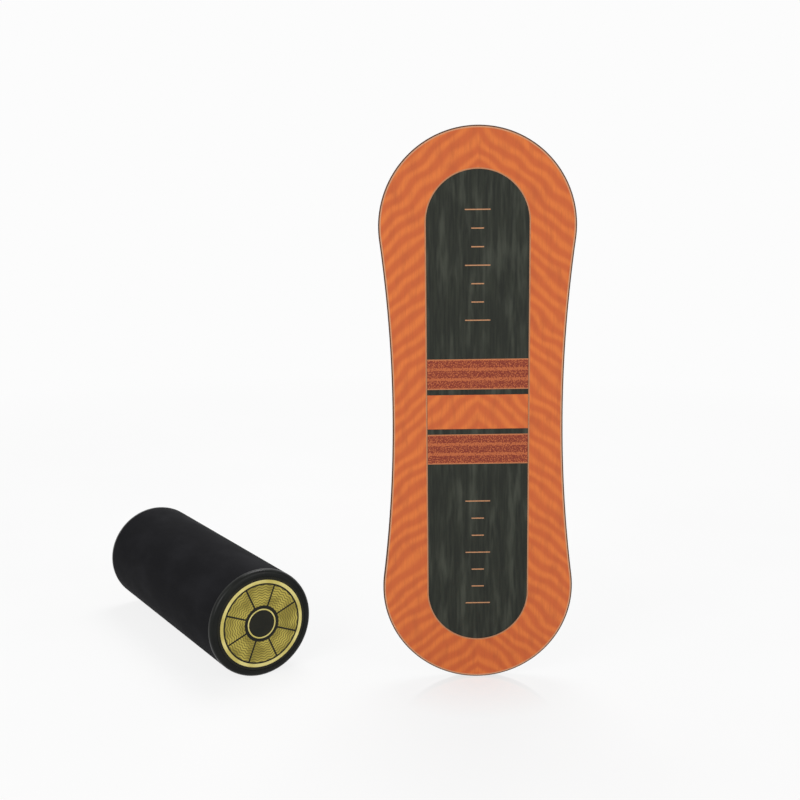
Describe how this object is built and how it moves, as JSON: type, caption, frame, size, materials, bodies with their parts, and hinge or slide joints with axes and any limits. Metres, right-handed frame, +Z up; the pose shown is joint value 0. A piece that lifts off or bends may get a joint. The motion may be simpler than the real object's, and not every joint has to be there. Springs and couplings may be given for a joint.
{
  "type": "rola bola",
  "caption": "Rola bola: a waisted laminated balance deck, stood on one end, beside the capped cylindrical roller that it is ridden on.",
  "frame": {"origin": "on the floor, under the middle of the box round the deck and the roller", "axes": "+Z up along the standing deck, -Y out of the deck's standing face, +X from the roller to the deck"},
  "size_m": [0.7574, 0.4482, 0.8096],
  "materials": {
    "face_veneer": "black-stained, open-grained, satin lacquer",
    "core_ply": "dark-stained edge, sanded and oiled",
    "orange_print": "orange printed film, satin",
    "brick_print": "brick red printed film, satin",
    "cleat_wood": "dark-stained beech, satin",
    "pad_rubber": "black rubber, matt",
    "screw_steel": "zinc-plated steel, satin",
    "pipe_plastic": "grey extruded pipe, satin",
    "grip_rubber": "black rubber skin, matt",
    "cap_plastic": "black moulded plastic, semi-gloss",
    "seal_rubber": "black rubber, matt",
    "badge_print": "gold-printed disc, satin"
  },
  "bodies": {
    "deck": {"face_veneer": "face_veneer", "back_veneer": "face_veneer", "core_ply_1": "core_ply", "core_ply_2": "core_ply", "core_ply_3": "core_ply", "core_ply_4": "core_ply", "core_ply_5": "core_ply", "print_border": "orange_print", "print_bar_upper": "brick_print", "print_bar_middle": "orange_print", "print_bar_lower": "brick_print", "stop_cleat_upper": "cleat_wood", "stop_cleat_lower": "cleat_wood", "stop_pad_upper": "pad_rubber", "stop_pad_lower": "pad_rubber", "stop_screw_upper_1": "screw_steel", "stop_screw_upper_2": "screw_steel", "stop_screw_upper_3": "screw_steel", "stop_screw_lower_1": "screw_steel", "stop_screw_lower_2": "screw_steel", "stop_screw_lower_3": "screw_steel"},
    "roller": {"roller_pipe": "pipe_plastic", "roller_grip_sleeve": "grip_rubber", "end_cap_near": "cap_plastic", "end_cap_far": "cap_plastic", "cap_seal_near": "seal_rubber", "cap_seal_far": "seal_rubber", "cap_badge_near": "badge_print", "cap_badge_far": "badge_print"}
  },
  "joints": [
    {"name": "roller_spin", "type": "hinge", "parent": "deck", "child": "roller", "pos_m": [-0.19756, 0, 0.08282], "axis": [-0.5255, 0.8508, 0], "continuous": true}
  ]
}
